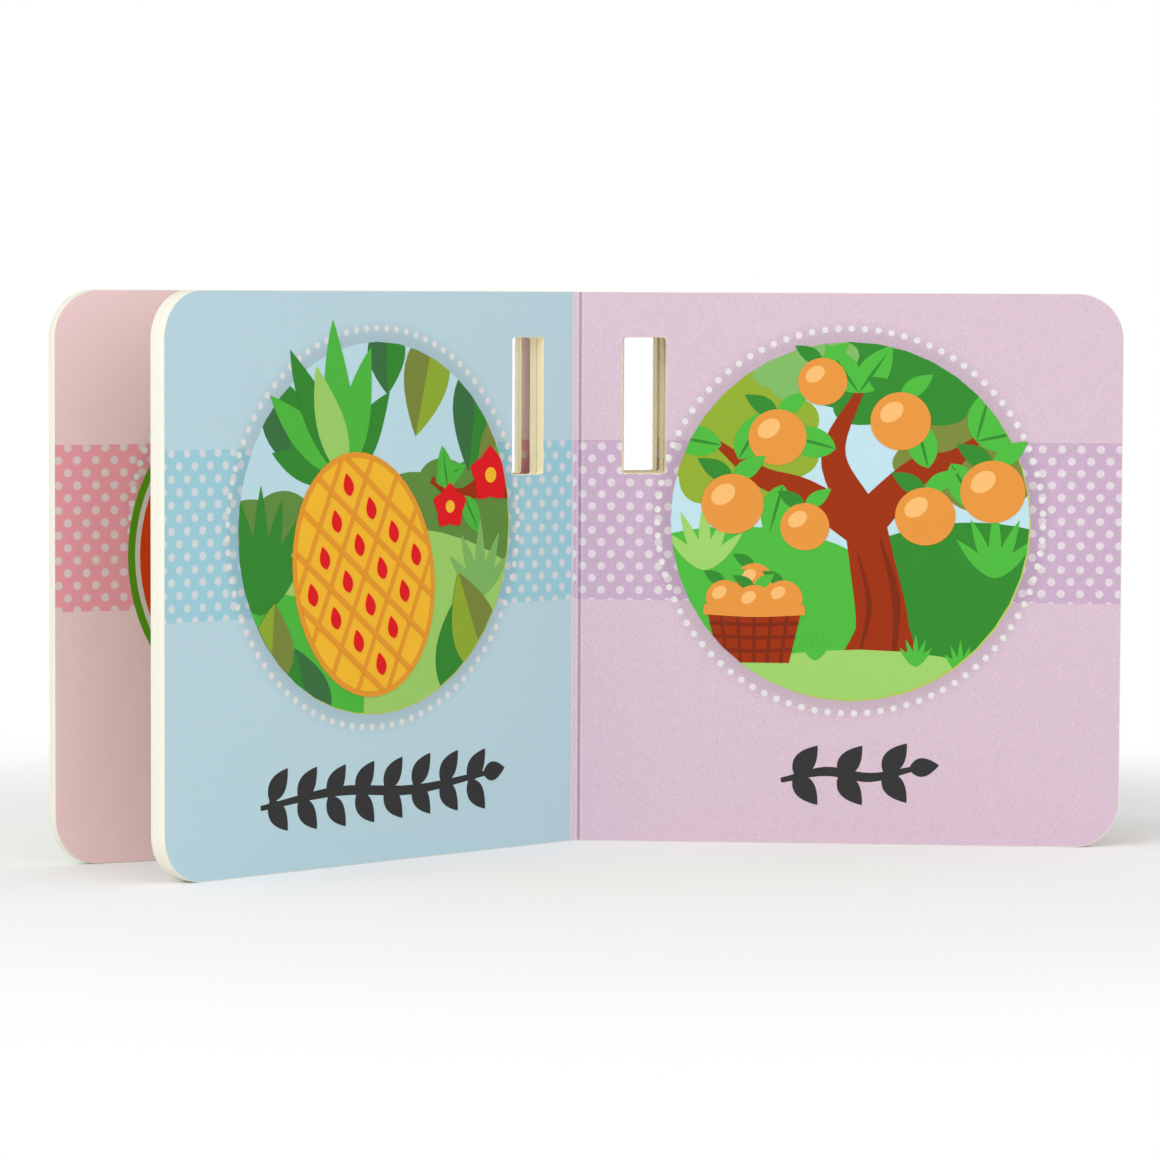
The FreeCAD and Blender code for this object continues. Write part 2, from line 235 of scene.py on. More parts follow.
class BookFan(bpy.types.PropertyGroup):
    """The way each leaf points, anticlockwise from +X."""

    front_cover: angle("Front cover", 207.4, "Direction of the front cover")
    first: angle("First leaf", 225.9, "Direction of the first leaf")
    second: angle("Second leaf", -4.8, "Direction of the second leaf")
    third: angle("Third leaf", 6.0, "Direction of the third leaf")
    fourth: angle("Fourth leaf", 11.0, "Direction of the fourth leaf")
    back_cover: angle("Back cover", 17.0, "Direction of the back cover")


class BookColours(bpy.types.PropertyGroup):
    """Board and print colours. Each page has a ground and a band."""

    board: colour("Board", "F0EEDF", "Bare bleached board, where the die has cut it")
    glue: colour("Glue line", "B9A774", "Glue between the two boards of a leaf")
    dots: colour("Band dots", "E6E0E0", "Dots on the bands")
    # this pale colour also paints the highlights beside the folds
    ring: colour("Ring dots", "E2DFDD", "Dots round the pictures")
    # painted shade: this colour stands for the shade that falls in the scored crease
    crease: colour("Crease", "7A5A70", "Scored crease of the open spread")
    # painted light: the same board, painted paler inside the strap slot against the shade that falls
    # there
    slot_wall_painted_light: colour("Slot wall", "FFF6D4", "Board inside the strap slot")
    pink_ground: colour("Pink ground", "F3D0D2", "Pink page")
    pink_band: colour("Pink band", "F4A0AC", "Pink page's band")
    green_ground: colour("Green ground", "CFE0BE", "Green page")
    green_band: colour("Green band", "A9CB8E", "Green page's band")
    blue_ground: colour("Blue ground", "BCD8E2", "Blue page")
    blue_band: colour("Blue band", "9CCFDC", "Blue page's band")
    lilac_ground: colour("Lilac ground", "D6BDCC", "Lilac page")
    lilac_band: colour("Lilac band", "C7A9C4", "Lilac page's band")
    yellow_ground: colour("Yellow ground", "F2E8BE", "Yellow page")
    yellow_band: colour("Yellow band", "EBD48E", "Yellow page's band")
    peach_ground: colour("Peach ground", "F2D6C2", "Peach page")
    peach_band: colour("Peach band", "EBB595", "Peach page's band")
    mint_ground: colour("Mint ground", "C4E0D4", "Mint page")
    mint_band: colour("Mint band", "99CAB5", "Mint page's band")
    rose_ground: colour("Rose ground", "EDCFD4", "Rose page")
    rose_band: colour("Rose band", "DEA3B0", "Rose page's band")
    sky_ground: colour("Sky ground", "C2D6E8", "Sky page")
    sky_band: colour("Sky band", "9CBDDE", "Sky page's band")
    cream_ground: colour("Cream ground", "FCE9BE", "Cream page")
    cream_band: colour("Cream band", "EBCF93", "Cream page's band")
    cover_ground: colour("Cover ground", "C2D99E", "Outside of both covers and the spine")
    cover_band: colour("Cover band", "9EC26B", "Covers' band")


def sizes():
    """The page's sizes."""
    return bpy.context.scene.book_sizes


def colours():
    """The board's and the inks' colours."""
    return bpy.context.scene.book_colours


# Where the leaves are


class Leaf:
    """A leaf of the fanned book: its crease on the side nearer the front cover, and its direction."""

    def __init__(self, crease, direction, thickness, body):
        self.crease = crease
        self.direction = direction
        self.thickness = thickness
        self.body = body

    def matrix(self):
        """Page coordinates in millimetres to the book's frame in metres."""
        turn = Matrix.Rotation(self.direction, 4, "Z")
        return Matrix.Translation(self.crease * MM) @ turn @ Matrix.Scale(MM, 4)

    def at(self, out, through):
        """A place in plan: out from the crease, and through the leaf away from the front cover."""
        return self.crease + Matrix.Rotation(self.direction, 3, "Z") @ Vector((out, through, 0))


def hinge_place(name):
    """A cover hinge's place in plan, in millimetres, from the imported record."""
    joint = next(j for j in frame["record"]["behaviour"]["joints"] if j["name"] == name)
    return Vector((joint["pos_m"][0], joint["pos_m"][1], 0)) / MM


def fan():
    """The six leaves by name, hung from one another as the boards' thicknesses place them."""
    s, turn = sizes(), bpy.context.scene.book_fan
    leaf, cover = 2 * s.board, s.board + s.card + s.cover_lift
    first = Leaf(hinge_place("front_cover_hinge"), turn.first, leaf, "pages")
    gutter = first.at(0, leaf) + Vector((s.gutter_strip, 0, 0))
    second = Leaf(gutter, turn.second, leaf, "pages")
    third = Leaf(second.at(0, leaf), turn.third, leaf, "pages")
    fourth = Leaf(third.at(0, leaf), turn.fourth, leaf, "pages")
    back = Leaf(hinge_place("back_cover_hinge"), turn.back_cover, cover, "back_cover")
    hinge = Leaf(first.crease, turn.front_cover, cover, "front_cover")
    front = Leaf(hinge.at(0, -cover), turn.front_cover, cover, "front_cover")
    names = ("front", "first", "second", "third", "fourth", "back")
    return dict(zip(names, (front, first, second, third, fourth, back)))


# Modelling by hand


def pick_only(*objects):
    """Leaves just these objects selected, the first of them active."""
    bpy.ops.object.select_all(action="DESELECT")
    for obj in objects:
        obj.select_set(True)
    bpy.context.view_layer.objects.active = objects[0]


def new_block(name, low, high):
    """A block between two corners, made from a cube."""
    centre = [(a + b) / 2 for a, b in zip(low, high)]
    bpy.ops.mesh.primitive_cube_add(size=1, location=centre)
    block = bpy.context.object
    block.name = name
    block.scale = [b - a for a, b in zip(low, high)]
    bpy.ops.object.transform_apply(location=True, rotation=True, scale=True)
    return block


def edit_all(obj, tool, **settings):
    """Uses an edit-mode tool on the whole of obj."""
    pick_only(obj)
    bpy.ops.object.mode_set(mode="EDIT")
    bpy.ops.mesh.select_all(action="SELECT")
    tool(**settings)
    bpy.ops.object.mode_set(mode="OBJECT")


def edit_edges(obj, wanted, tool, **settings):
    """Uses an edit-mode tool on those edges of obj for which wanted(end, end) is true."""
    pick_only(obj)
    bpy.ops.object.mode_set(mode="EDIT")
    bpy.ops.mesh.select_mode(type="EDGE")
    bpy.ops.mesh.select_all(action="DESELECT")
    bpy.ops.object.mode_set(mode="OBJECT")
    corners = obj.data.vertices
    for edge in obj.data.edges:
        edge.select = wanted(*(corners[i].co for i in edge.vertices))
    bpy.ops.object.mode_set(mode="EDIT")
    tool(**settings)
    bpy.ops.object.mode_set(mode="OBJECT")


def bevel_edges(obj, wanted, width, segments):
    """Rounds those edges of obj for which wanted(end, end) is true."""
    edit_edges(obj, wanted, bpy.ops.mesh.bevel, offset=width, segments=segments, affect="EDGES")


def apply_modifier(obj, kind, **settings):
    """Adds a modifier, sets it and applies it."""
    pick_only(obj)
    modifier = obj.modifiers.new(kind.title(), kind)
    for name, value in settings.items():
        setattr(modifier, name, value)
    bpy.ops.object.modifier_apply(modifier=modifier.name)


def cut_away(obj, cutter, operation="DIFFERENCE"):
    """Cuts obj with cutter, which is used up."""
    apply_modifier(obj, "BOOLEAN", operation=operation, object=cutter, solver="EXACT")
    bpy.data.meshes.remove(cutter.data)


def runs_through(a, b):
    """Whether an edge runs through the leaf, along Y."""
    return abs(a.x - b.x) < SAME and abs(a.z - b.z) < SAME


def is_long(a, b):
    """Whether an edge of the slot's die is long enough to be uneven."""
    return (a - b).length > UNEVEN_FROM


def slot_middle():
    """The strap slot's middle: out from the crease, and up."""
    s = sizes()
    return s.slot_from_crease + s.slot_width / 2, s.page_height - s.slot_below_top - s.slot_height / 2


def wandering(place, waves, phases):
    """How far the die's cut is off at a place along it."""
    return RAGGED * sum(math.sin(wave * place + phase) for wave, phase in zip(waves, phases)) / 2


def slot_cutter(rim, low, high, seed=None):
    """The die for the strap slot, wider all round by rim. With a seed its sides are a little uneven."""
    s = sizes()
    foot = s.page_height - s.slot_below_top - s.slot_height
    cutter = new_block(
        "slot_die",
        (s.slot_from_crease - rim, low - CLEARANCE, foot - rim),
        (s.slot_from_crease + s.slot_width + rim, high + CLEARANCE, foot + s.slot_height + rim),
    )
    bevel_edges(cutter, runs_through, s.slot_corner + rim, SLOT_FACETS)
    if seed is None:
        return cutter
    edit_edges(cutter, is_long, bpy.ops.mesh.subdivide, number_cuts=SLOT_STEPS)
    wander = random.Random(seed)
    phases = [wander.uniform(0, 2 * math.pi) for _ in range(4)]
    for vertex in cutter.data.vertices:
        x, z = vertex.co.x, vertex.co.z
        vertex.co.x += wandering(z, SIDE_WAVES, phases[:2])
        vertex.co.z += wandering(x, END_WAVES, phases[2:])
    return cutter


def page_plate(name, start, faces, inset=0.0, rim=0.0):
    """A page-shaped plate from start to the fore-edge, between two faces through the leaf."""
    s = sizes()
    low, high = sorted(faces)
    edge = s.page_width - inset
    plate = new_block(name, (start, low, inset), (edge, high, s.page_height - inset))

    def at_fore_edge(a, b):
        return runs_through(a, b) and abs(a.x - edge) < SAME

    bevel_edges(plate, at_fore_edge, s.corner - inset, CORNER_FACETS)
    cut_away(plate, slot_cutter(rim, low, high, name))
    return plate


def lay_on(obj, leaf):
    """Moves a piece modelled in page coordinates to its leaf and fixes it there."""
    pick_only(obj)
    obj.matrix_world = leaf.matrix()
    bpy.ops.object.transform_apply(location=True, rotation=True, scale=True)


def join(name, pieces):
    """Joins pieces into one object."""
    pick_only(*pieces)
    if len(pieces) > 1:
        bpy.ops.object.join()
    bpy.context.object.name = name
    return bpy.context.object


# Materials


def new_material(name, roughness, specular):
    """A material, its node tree and its shader."""
    material = bpy.data.materials.new(name)
    material.use_nodes = True
    shader = material.node_tree.nodes["Principled BSDF"]
    shader.inputs["Roughness"].default_value = roughness
    shader.inputs["Specular IOR Level"].default_value = specular
    return material, material.node_tree, shader


def node(tree, kind, inputs=(), **settings):
    """Adds a node. An input is a value, a socket, or a node, whose first output is then linked."""
    made = tree.nodes.new("ShaderNode" + kind)
    for name, value in settings.items():
        setattr(made, name, value)
    for place, value in inputs.items() if isinstance(inputs, dict) else enumerate(inputs):
        if isinstance(value, bpy.types.Node):
            value = value.outputs[0]
        if isinstance(value, bpy.types.NodeSocket):
            tree.links.new(value, made.inputs[place])
        else:
            made.inputs[place].default_value = value
    return made


def rgba(value):
    """A colour with full cover."""
    return (*value, 1.0)


def spread(value, low, high, at_low, at_high):
    """What a Map Range node takes: value, and what it is turned into at low and at high."""
    return {"Value": value, "From Min": low, "From Max": high, "To Min": at_low, "To Max": at_high}


def add_grain(tree, shader, size, depth, base, share):
    """Fine noise of a real size in millimetres: a bump, and a slight change of the base colour."""
    place = node(tree, "TexCoord").outputs["Object"]
    scale = 1 / (size * MM)
    noise = node(tree, "TexNoise", {"Vector": place, "Scale": scale, "Detail": 3.0, "Roughness": 0.6})
    bump = node(tree, "Bump", {"Strength": 1.0, "Distance": depth * MM, "Height": noise})
    tree.links.new(bump.outputs["Normal"], shader.inputs["Normal"])
    level = node(tree, "MapRange", spread(noise, *NOISE_RANGE, 1 - share, 1 + share))
    tinted = node(tree, "VectorMath", (base, level), operation="MULTIPLY")
    tree.links.new(tinted.outputs[0], shader.inputs["Base Color"])


def die_cut_board():
    """Solid bleached board, die-cut: a matt cream section with its glue line and pressed layers;
    painted light makes it paler in the strap slot.
    """
    material, tree, shader = new_material("solid_bleached_board_die_cut", roughness=0.85, specular=0.3)
    s, c = sizes(), colours()
    place = node(tree, "Attribute", attribute_name="page_place").outputs["Vector"]
    # layers 0.2 mm thick, drawn out along the board
    stretch = node(tree, "Mapping", {"Vector": place, "Scale": (0.25, 5.0, 0.25)})
    layers = node(tree, "TexNoise", {"Vector": stretch, "Scale": 1.0, "Detail": 4.0})
    layered = node(tree, "MapRange", spread(layers, *LAYER_RANGE, 0.0, LAYER_SHADE))
    axes = node(tree, "SeparateXYZ", (place,))
    glue = inside(tree, off(tree, axes.outputs["Y"], s.board), GLUE_LINE, GLUE_BLUR)
    out, up = slot_middle()
    in_width = inside(tree, off(tree, axes.outputs["X"], out), s.slot_width / 2 + SLOT_SURROUND)
    in_height = inside(tree, off(tree, axes.outputs["Z"], up), s.slot_height / 2 + SLOT_SURROUND)
    in_slot = node(tree, "Math", (in_width, in_height), operation="MULTIPLY")
    strength = node(tree, "Math", (in_slot, GLUE_SHADE_IN_SLOT, GLUE_SHADE), operation="MULTIPLY_ADD")
    glued = node(tree, "Math", (glue, strength), operation="MULTIPLY")
    share = node(tree, "Math", (layered, glued), operation="MAXIMUM")
    # inside the slot the board takes the paler wall colour: painted light
    paper = inked(tree, rgba(c.board), rgba(c.slot_wall_painted_light), in_slot)
    glued_paper = inked(tree, paper, rgba(c.glue), share)
    add_grain(tree, shader, BOARD_GRAIN, BOARD_RELIEF, glued_paper, BOARD_TONE)
    return material


def inked(tree, under, over, where, cover=None):
    """A colour with another printed over it where it says 1, fully or as well as cover says."""
    share = where if cover is None else node(tree, "Math", (where, cover), operation="MULTIPLY")
    return node(tree, "Mix", {0: share, 6: under, 7: over}, data_type="RGBA").outputs[2]


def off(tree, value, place):
    """How far a value is from a place."""
    gap = node(tree, "Math", (value, place), operation="SUBTRACT")
    return node(tree, "Math", (gap,), operation="ABSOLUTE")


def inside(tree, distance, radius, blur=BLUR):
    """1 where distance is under radius, 0 outside, with a soft edge."""
    edge = spread(distance, radius - blur, radius + blur, 1.0, 0.0)
    return node(tree, "MapRange", edge, interpolation_type="SMOOTHSTEP")


def far_off(tree, across, along):
    """The length of a step of two parts."""
    squares = [node(tree, "Math", (part, 2.0), operation="POWER") for part in (across, along)]
    total = node(tree, "Math", squares, operation="ADD")
    return node(tree, "Math", (total,), operation="SQRT")


def dot_grid(tree, out, down, first_out, first_down):
    """Distance to the nearest dot of a grid, one of the two that make a staggered band."""
    steps = []
    for value, first, half_pitch in ((out, first_out, DOT_PITCH / 2), (down, first_down, DOT_ROWS)):
        past = node(tree, "Math", (value, first), operation="SUBTRACT")
        steps.append(node(tree, "Math", (past, half_pitch), operation="PINGPONG"))
    return far_off(tree, *steps)


def banded_ground(tree, out, up, ink_name, first_dot, first_row, dot_cover=DOT_COVER):
    """A page's ground with the polka-dot band across it. out and up are in millimetres."""
    s, c = sizes(), colours()
    down = node(tree, "Math", (s.page_height - s.band_below_top, up), operation="SUBTRACT")
    in_band = inside(tree, off(tree, down, s.band_height / 2), s.band_height / 2, BAND_BLUR)
    even = dot_grid(tree, out, down, first_dot, first_row)
    odd = dot_grid(tree, out, down, first_dot + DOT_PITCH / 2, first_row + DOT_ROWS)
    in_dot = inside(tree, node(tree, "Math", (even, odd), operation="MINIMUM"), DOT_RADIUS)
    ground, band = (rgba(getattr(c, f"{ink_name}_{part}")) for part in ("ground", "band"))
    return inked(tree, ground, inked(tree, band, rgba(c.dots), in_dot, dot_cover), in_band)


def satin_film(name, sheen=PALE_SHEEN):
    """Satin film over print: a soft sheen, slightly broken by the paper grain under it."""
    return new_material(name, SATIN, sheen)


def add_film_grain(tree, shader, base, share):
    """The paper grain under satin film."""
    add_grain(tree, shader, FILM_GRAIN, FILM_RELIEF, base, share)


def page_print(page, ink_name):
    """Offset print under satin film: flat pastel inks, the dotted band, the shade, the dotted ring."""
    material, tree, shader = satin_film(f"offset_print_satin_film_{page}")
    s, c = sizes(), colours()
    axes = node(tree, "SeparateXYZ", (node(tree, "UVMap", uv_map="page"),))
    out, up = axes.outputs["X"], axes.outputs["Y"]
    base = banded_ground(tree, out, up, ink_name, *FIRST_DOTS.get(page, FIRST_DOT))

    across = node(tree, "Math", (out, s.page_width / 2), operation="SUBTRACT")
    above = node(tree, "Math", (up, s.page_height - s.picture_below_top), operation="SUBTRACT")
    radius = far_off(tree, across, above)
    fade = spread(radius, s.picture / 2, s.picture / 2 + SHADE_REACH, 1 - SHADE_DEPTH, 1.0)
    shade = node(tree, "MapRange", fade, interpolation_type="SMOOTHERSTEP")
    shaded = node(tree, "VectorMath", (base, shade), operation="MULTIPLY")

    bearing = node(tree, "Math", (above, across), operation="ARCTAN2")
    turned = node(tree, "Math", (bearing, math.radians(RING_TURN)), operation="ADD")
    off_dot = node(tree, "Math", (turned, math.pi / RING_DOTS), operation="PINGPONG")
    sideways = node(tree, "Math", (off_dot, s.ring / 2), operation="MULTIPLY")
    past_ring = node(tree, "Math", (radius, s.ring / 2), operation="SUBTRACT")
    in_dot = inside(tree, far_off(tree, sideways, past_ring), RING_DOT_RADIUS)
    printed = inked(tree, shaded, rgba(c.ring), in_dot)

    off_fold = node(tree, "Math", (out,), operation="ABSOLUTE")
    # the fold marks: painted shade in the scored crease, painted highlights beside the folds, the blue
    # page's pale line partly wear
    for mark, place, half, blur, cover in FOLD_MARKS.get(page, ()):
        marked = inside(tree, off(tree, off_fold, place), half, blur)
        printed = inked(tree, printed, rgba(getattr(c, mark)), marked, cover)
    add_film_grain(tree, shader, printed, SCREEN_GRAIN.get(ink_name, FINE_GRAIN))
    return material


def spine_print(start, end):
    """The covers' card where it goes round the spine, dotted where it lies flat from start to end."""
    material, tree, shader = satin_film("printed_card_satin_film")
    run = end - start
    turn = -math.atan2(run.y, run.x)
    middle = Matrix.Rotation(turn, 3, "Z") @ (start + end) / 2
    flat_way = Vector((-run.y, run.x, 0)).normalized()
    place = node(tree, "TexCoord")
    facing = node(tree, "VectorMath", (place.outputs["Normal"], flat_way), operation="DOT_PRODUCT")
    square_on = node(tree, "Math", (facing.outputs["Value"],), operation="ABSOLUTE")
    flat = node(tree, "Math", (square_on, FLAT_CARD), operation="GREATER_THAN")
    moved = {"Location": -middle, "Rotation": (0, 0, turn), "Scale": (1 / MM, 1 / MM, 1 / MM)}
    mapped = node(tree, "Mapping", {"Vector": place.outputs["Object"], **moved})
    axes = node(tree, "SeparateXYZ", (mapped,))
    cover = node(tree, "Math", (flat, DOT_COVER), operation="MULTIPLY")
    out, up = axes.outputs["X"], axes.outputs["Z"]
    base = banded_ground(tree, out, up, "cover", DOT_PITCH / 2, FIRST_DOT[1], cover)
    add_film_grain(tree, shader, base, FINE_GRAIN)
    return material


def store_page_place(obj):
    """Keeps each vertex's page coordinates, so that the board's layers follow the leaf."""
    places = obj.data.attributes.new("page_place", "FLOAT_VECTOR", "POINT")
    for vertex, place in zip(obj.data.vertices, places.data):
        place.vector = vertex.co


def unwrap_flat(obj):
    """A UV map in the page's own millimetres."""
    layer = obj.data.uv_layers.new(name="page")
    for loop in obj.data.loops:
        co = obj.data.vertices[loop.vertex_index].co
        layer.data[loop.index].uv = (co.x, co.z)


def soften_edges(obj):
    """Rounds the edges that the die leaves on a board."""
    width = sizes().edge_softness
    apply_modifier(obj, "BEVEL", width=width, segments=2, limit_method="ANGLE", angle_limit=SHARP)
    bpy.ops.object.shade_smooth_by_angle(angle=SMOOTH)


def score(obj):
    """Presses the scored line of a crease into the face that looks at the first leaf."""
    for place in (-SCORE_WIDTH / 2, 0.0, SCORE_WIDTH / 2):
        edit_all(obj, bpy.ops.mesh.bisect, plane_co=(place, 0, 0), plane_no=(1, 0, 0))
    face = min(vertex.co.y for vertex in obj.data.vertices)
    for vertex in obj.data.vertices:
        if abs(vertex.co.x) < SAME and vertex.co.y < face + SCORE_WIDTH:
            vertex.co.y += SCORE_DEPTH


# Operators, one for each group of pieces


class BOOK_OT_page_block(bpy.types.Operator):
    """Makes the four double leaves of page board"""

    bl_idname = "book.page_block"
    bl_label = "Page block"

    def execute(self, context):
        s, material, plates = sizes(), die_cut_board(), []
        for name, leaf in fan().items():
            if leaf.body != "pages":
                continue
            plate = page_plate(name, -s.fold, (0.0, leaf.thickness))
            soften_edges(plate)
            if name == "second":
                score(plate)
            store_page_place(plate)
            plate.data.materials.append(material)
            lay_on(plate, leaf)
            plates.append(plate)
        block = join("page_block", plates)
        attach(block, "pages")
        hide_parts("pages")
        return {"FINISHED"}


class BOOK_OT_covers(bpy.types.Operator):
    """Makes the front and back covers: a board, and a card turned round its spine edge"""

    bl_idname = "book.covers"
    bl_label = "Covers"

    def execute(self, context):
        s, leaves = sizes(), fan()
        board = bpy.data.materials["solid_bleached_board_die_cut"]
        last = leaves["fourth"]
        card = spine_print(last.at(0, last.thickness), leaves["first"].crease)
        for name, outward in (("front", -1), ("back", 1)):
            leaf = leaves[name]
            inner, outer = cover_faces(leaf, outward)
            plate = page_plate(f"{leaf.body}_board", s.hinge_gap, (inner, outer))

            def at_spine(a, b):
                return all(abs(p.x - s.hinge_gap) < SAME and abs(p.y - outer) < SAME for p in (a, b))

            bevel_edges(plate, at_spine, s.spine_edge, SPINE_FACETS)
            soften_edges(plate)
            store_page_place(plate)
            plate.data.materials.append(board)
            plate.data.materials.append(card)
            wrapped = s.hinge_gap + s.spine_edge + SAME
            for face in plate.data.polygons:
                in_wrap = face.center.x < wrapped and abs(face.center.y - inner) > INNER_BARE
                if in_wrap and abs(face.normal.z) < CUT_END:
                    face.material_index = 1
            lay_on(plate, leaf)
            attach(plate, leaf.body)
            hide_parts(leaf.body)
        return {"FINISHED"}


def bent_card(name, start, crease, end):
    """A strip of card as high as the page, from start to end, pressed in towards the crease."""
    dip = crease * HINGE_DIP + (start + end) * (1 - HINGE_DIP) / 2
    bpy.ops.mesh.primitive_grid_add(x_subdivisions=HINGE_STEPS, y_subdivisions=1, size=1)
    sheet = bpy.context.object
    sheet.name = name
    for vertex in sheet.data.vertices:
        t, up = vertex.co.x + 0.5, vertex.co.y + 0.5
        place = start * (1 - t) ** 2 + dip * 2 * t * (1 - t) + end * t**2
        vertex.co = (place + Vector((0, 0, up * sizes().page_height))) * MM
    apply_modifier(sheet, "SOLIDIFY", thickness=HINGE_CARD * MM, offset=0)
    edit_all(sheet, bpy.ops.mesh.normals_make_consistent, inside=False)
    bpy.ops.object.shade_smooth_by_angle(angle=SMOOTH)
    return sheet


class BOOK_OT_spine(bpy.types.Operator):
    """Finishes the spine card, and makes the card that bends at each cover's hinge"""

    bl_idname = "book.spine"
    bl_label = "Spine"

    def execute(self, context):
        s, leaves = sizes(), fan()
        card = bpy.data.materials["printed_card_satin_film"]
        spine = bpy.data.objects["spine"]
        spine.data.materials.clear()
        spine.data.materials.append(card)
        inset = s.spine_edge * (1 - math.sqrt(0.5))  # to the middle of the rounded spine edge
        for name, beside, outward in (("front", "first", -1), ("back", "fourth", 1)):
            cover, page = leaves[name], leaves[beside]
            outer = cover_faces(cover, outward)[1]
            face = page.thickness if outward > 0 else 0.0
            crease = page.at(0, face)
            on_spine = page.at(-s.fold - s.card, face - outward * CARD_LAP)
            on_cover = cover.at(s.hinge_gap + inset, outer - outward * inset)
            sheet = bent_card(f"{cover.body}_hinge_card", on_spine, crease, on_cover)
            sheet.data.materials.append(card)
            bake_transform(sheet)
        return {"FINISHED"}


PAGES = (
    # name, leaf, way it looks through the leaf, colours, picture
    ("front_cover", "front", -1, "cover", "flower"),
    ("pink_page", "front", 1, "pink", "melon"),
    ("green_page", "first", -1, "green", "apple_tree"),
    ("blue_page", "first", 1, "blue", "pineapple"),
    ("lilac_page", "second", -1, "lilac", "orange_tree"),
    ("yellow_page", "second", 1, "yellow", "melon"),
    ("peach_page", "third", -1, "peach", "flower"),
    ("mint_page", "third", 1, "mint", "apple_tree"),
    ("rose_page", "fourth", -1, "rose", "sun"),
    ("sky_page", "fourth", 1, "sky", "pineapple"),
    ("cream_page", "back", -1, "cream", "flower"),
    ("back_cover", "back", 1, "cover", "sun"),
)
OUTSIDES = ("front_cover", "back_cover")
COVER_INSIDES = ("pink_page", "cream_page")


def cover_faces(leaf, outward):
    """A cover's inner and outer faces, through its leaf."""
    lift = sizes().cover_lift
    return (leaf.thickness - lift, 0.0) if outward < 0 else (lift, leaf.thickness)


def page_face(page, leaf, outward):
    """Where a page's face stands through its leaf."""
    if page in COVER_INSIDES:
        return cover_faces(leaf, -outward)[0]
    return leaf.thickness if outward > 0 else 0.0


class BOOK_OT_page_grounds(bpy.types.Operator):
    """Prints each page's ground, dotted band, ring of dots and the shade round its picture"""

    bl_idname = "book.page_grounds"
    bl_label = "Page grounds"

    def execute(self, context):
        s, leaves = sizes(), fan()
        for page, leaf_name, outward, ink_name, _ in PAGES:
            leaf = leaves[leaf_name]
            face = page_face(page, leaf, outward)
            # the open spread is printed up to its crease, and over the gutter strip
            start = {"blue_page": 0.0, "lilac_page": -s.gutter_strip}.get(page, FOLD_BARE)
            if page in OUTSIDES:
                start = s.hinge_gap + s.spine_edge
            faces = (face, face + outward * GROUND_INK)
            plate = page_plate(f"{page}_print", start, faces, s.edge_softness * PRINT_INSET, SLOT_RIM)
            if page == "lilac_page":
                score(plate)
            unwrap_flat(plate)
            plate.data.materials.append(page_print(page, ink_name))
            lay_on(plate, leaf)
            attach(plate, leaf.body)
            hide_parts(f"{page}_ground", f"{page}_band")
        return {"FINISHED"}


# Pictures. A drawing's points are (across, up) in millimetres from the picture's centre.


def oval(centre, wide, high, turn=0.0):
    """Points round an oval of two radii, turned by degrees."""
    points, lean = [], math.radians(turn)
    for i in range(OVAL_STEPS):
        t = 2 * math.pi * i / OVAL_STEPS
        x, y = wide * math.cos(t), high * math.sin(t)
        across = centre[0] + x * math.cos(lean) - y * math.sin(lean)
        points.append((across, centre[1] + x * math.sin(lean) + y * math.cos(lean)))
    return points


def leaf_outline(base, reach, wide, direction, bend=0.0):
    """A pointed leaf from its base, pointing along direction in degrees, bent sideways by bend."""
    lean = math.radians(direction)
    along, side = Vector((math.cos(lean), math.sin(lean))), Vector((-math.sin(lean), math.cos(lean)))
    upper, lower = [], []
    for i in range(LEAF_STEPS + 1):
        t = i / LEAF_STEPS
        middle = Vector(base) + along * reach * t + side * bend * math.sin(math.pi * t / 2) ** 2
        half = side * (wide / 2) * math.sin(math.pi * t**0.8) ** 0.9 if 0 < t < 1 else side * 0
        upper.append(middle + half)
        if 0 < t < 1:
            lower.append(middle - half)
    return [tuple(p) for p in upper + lower[::-1]]


def limb(points, widths):
    """A tapering limb through points, widths[i] wide at point i, with smooth sides."""
    spine, half = [], []
    ends = [2 * Vector(points[0]) - Vector(points[1]), *map(Vector, points)]
    ends.append(2 * Vector(points[-1]) - Vector(points[-2]))
    for i in range(1, len(ends) - 2):
        for k in range(LIMB_STEPS):
            t = k / LIMB_STEPS
            a, b, c, d = ends[i - 1 : i + 3]
            square = (2 * a - 5 * b + 4 * c - d) * t**2
            cube = (3 * b - a - 3 * c + d) * t**3
            spine.append(0.5 * (2 * b + (c - a) * t + square + cube))
            half.append((widths[i - 1] * (1 - t) + widths[i] * t) / 2)
    spine.append(ends[-2])
    half.append(widths[-1] / 2)
    left, right = [], []
    for i, point in enumerate(spine):
        run = (spine[min(i + 1, len(spine) - 1)] - spine[max(i - 1, 0)]).normalized()
        side = Vector((-run.y, run.x)) * half[i]
        left.append(tuple(point + side))
        right.append(tuple(point - side))
    return left + right[::-1]


def scalloped(centre, wide, high, lobes):
    """A bush, cloud or tree top: an oval with rounded lobes."""
    points = []
    for i in range(lobes * LOBE_STEPS):
        t = 2 * math.pi * i / (lobes * LOBE_STEPS)
        r = 1 - SCALLOP + SCALLOP * abs(math.sin(lobes * t / 2))
        points.append((centre[0] + wide * r * math.cos(t), centre[1] + high * r * math.sin(t)))
    return points


